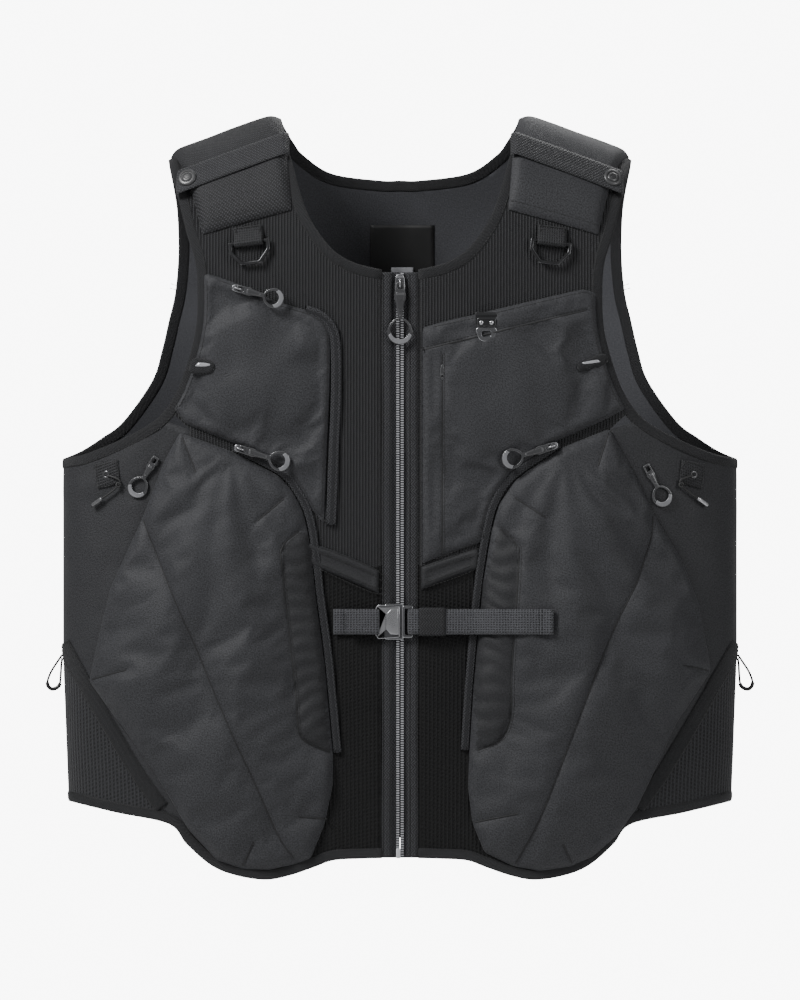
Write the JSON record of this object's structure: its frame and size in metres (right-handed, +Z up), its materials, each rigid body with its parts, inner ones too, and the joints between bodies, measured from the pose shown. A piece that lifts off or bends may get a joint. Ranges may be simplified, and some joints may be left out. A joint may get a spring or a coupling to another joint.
{
  "type": "utility vest",
  "caption": "Zip-front sleeveless utility vest with zipped pouches, chest pockets, padded shoulders, D-rings and a chest buckle.",
  "frame": {"origin": "midway between the shoulder tops where the vest hangs on the shoulders, on the middle plane", "axes": "+Z up, the front faces -Y, the wearer's left is +X"},
  "size_m": [0.6396, 0.1852, 0.6889],
  "materials": {
    "softshell": "matte",
    "mesh_cloth": "matte",
    "trim_tape": "matte",
    "webbing": "matte",
    "cord": "matte",
    "pull_plastic": "satin",
    "cap_plastic": "satin",
    "ring_metal": "satin",
    "clip_metal": "satin",
    "slider_metal": "satin",
    "buckle_metal": "satin"
  },
  "bodies": {
    "body": {"armhole_binding_left": "trim_tape", "armhole_binding_right": "trim_tape", "back_panel": "softshell", "buckle_frame": "buckle_metal", "chest_pocket_left": "softshell", "chest_pocket_right": "softshell", "chest_strap_left": "webbing", "chest_strap_right": "webbing", "chest_zip_right": "trim_tape", "clip_base": "clip_metal", "clip_cord": "cord", "clip_grip": "pull_plastic", "cord_tab_left": "webbing", "cord_tab_right": "webbing", "front_mesh_left": "mesh_cloth", "front_mesh_right": "mesh_cloth", "hem_binding": "trim_tape", "neck_binding": "trim_tape", "pouch_left": "softshell", "pouch_right": "softshell", "pouch_zip_left": "trim_tape", "pouch_zip_right": "trim_tape", "ring_tab_left": "webbing", "ring_tab_right": "webbing", "shoulder_pad_left": "softshell", "shoulder_pad_right": "softshell", "side_binding_left": "trim_tape", "side_binding_right": "trim_tape", "side_cord_left": "cord", "side_cord_right": "cord", "side_mesh_left": "mesh_cloth", "side_mesh_right": "mesh_cloth", "side_panel_left": "softshell", "side_panel_right": "softshell", "tab_cord_left": "cord", "tab_cord_right": "cord", "waist_band_left": "softshell", "waist_band_right": "softshell", "zip_stringer_left": "trim_tape", "zip_stringer_right": "trim_tape"},
    "main_slider": {"zip_slider": "slider_metal"},
    "main_pull": {"zip_pull": "pull_plastic"},
    "chest_slider_right_body": {"chest_slider_right": "slider_metal"},
    "chest_pull_right_body": {"chest_pull_right": "pull_plastic"},
    "pouch_slider_right_body": {"pouch_slider_right": "slider_metal"},
    "pouch_pull_right_body": {"pouch_pull_right": "pull_plastic"},
    "pouch_slider_left_body": {"pouch_slider_left": "slider_metal"},
    "pouch_pull_left_body": {"pouch_pull_left": "pull_plastic"},
    "side_pull_right_body": {"side_pull_right": "pull_plastic"},
    "side_pull_left_body": {"side_pull_left": "pull_plastic"},
    "slit_pull_body": {"slit_pull_left": "pull_plastic"},
    "clip_hook_body": {"clip_hook": "clip_metal"},
    "buckle_hook_body": {"buckle_hook": "buckle_metal"},
    "strap_keeper_body": {"strap_keeper": "webbing"},
    "d_ring_right_body": {"d_ring_right": "ring_metal"},
    "keeper_right_body": {"keeper_strap_right": "webbing", "snap_cap_right": "cap_plastic"},
    "d_ring_left_body": {"d_ring_left": "ring_metal"},
    "keeper_left_body": {"keeper_strap_left": "webbing", "snap_cap_left": "cap_plastic"}
  },
  "joints": [
    {"name": "main_zip_run", "type": "slide", "parent": "body", "child": "main_slider", "axis": [0, 0, -1], "range_m": [0, 0.23]},
    {"name": "main_pull_swing", "type": "hinge", "parent": "main_slider", "child": "main_pull", "pos_m": [0, -0.0841, -0.149], "axis": [-1, 0, 0], "range_deg": [0, 90]},
    {"name": "chest_zip_run_right", "type": "slide", "parent": "body", "child": "chest_slider_right_body", "axis": [0.9602, -0.105, -0.2587], "range_m": [0, 0.04]},
    {"name": "chest_pull_swing_right", "type": "hinge", "parent": "chest_slider_right_body", "child": "chest_pull_right_body", "pos_m": [-0.14592, -0.08243, -0.15368], "axis": [-0.2609, -0.0078, -0.9653], "range_deg": [0, 90]},
    {"name": "pouch_zip_run_right", "type": "slide", "parent": "body", "child": "pouch_slider_right_body", "axis": [0.9238, -0.0786, -0.3746], "range_m": [0, 0.04]},
    {"name": "pouch_pull_swing_right", "type": "hinge", "parent": "pouch_slider_right_body", "child": "pouch_pull_right_body", "pos_m": [-0.1438, -0.08301, -0.298], "axis": [-0.2913, 0.0248, -0.9563], "range_deg": [0, 90]},
    {"name": "pouch_zip_run_left", "type": "slide", "parent": "body", "child": "pouch_slider_left_body", "axis": [-0.9244, -0.0717, -0.3746], "range_m": [0, 0.04]},
    {"name": "pouch_pull_swing_left", "type": "hinge", "parent": "pouch_slider_left_body", "child": "pouch_pull_left_body", "pos_m": [0.13673, -0.08358, -0.2958], "axis": [-0.2915, -0.0226, 0.9563], "range_deg": [0, 90]},
    {"name": "side_zip_run_right", "type": "slide", "parent": "body", "child": "side_pull_right_body", "axis": [-0.3819, 0.0826, -0.9205], "range_m": [0, 0.04]},
    {"name": "side_zip_run_left", "type": "slide", "parent": "body", "child": "side_pull_left_body", "axis": [0.4279, 0.095, -0.8988], "range_m": [0, 0.04]},
    {"name": "slit_zip_run", "type": "slide", "parent": "body", "child": "slit_pull_body", "axis": [0, 0, -1], "range_m": [0, 0.12]},
    {"name": "clip_hook_open", "type": "hinge", "parent": "body", "child": "clip_hook_body", "pos_m": [0.07774, -0.08542, -0.1901], "axis": [-0.9996, -0.0296, 0], "range_deg": [0, 60]},
    {"name": "buckle_hook_open", "type": "hinge", "parent": "body", "child": "buckle_hook_body", "pos_m": [-0.021, -0.0842, -0.4536], "axis": [0, 0, -1], "range_deg": [0, 70]},
    {"name": "strap_keeper_run", "type": "slide", "parent": "body", "child": "strap_keeper_body", "axis": [1, 0, 0], "range_m": [0, 0.015]},
    {"name": "d_ring_swing_right", "type": "hinge", "parent": "body", "child": "d_ring_right_body", "pos_m": [-0.13615, -0.07532, -0.11188], "axis": [-0.9859, 0.1172, -0.1197], "range_deg": [0, 90]},
    {"name": "keeper_swing_right", "type": "hinge", "parent": "body", "child": "keeper_right_body", "pos_m": [-0.10003, -0.04743, -0.02409], "axis": [-0.0078, 0.5891, 0.808], "range_deg": [0, 80]},
    {"name": "d_ring_swing_left", "type": "hinge", "parent": "body", "child": "d_ring_left_body", "pos_m": [0.13615, -0.07532, -0.11188], "axis": [-0.9859, -0.1172, 0.1197], "range_deg": [0, 90]},
    {"name": "keeper_swing_left", "type": "hinge", "parent": "body", "child": "keeper_left_body", "pos_m": [0.10003, -0.04743, -0.02409], "axis": [-0.0078, -0.5891, -0.808], "range_deg": [0, 80]}
  ]
}
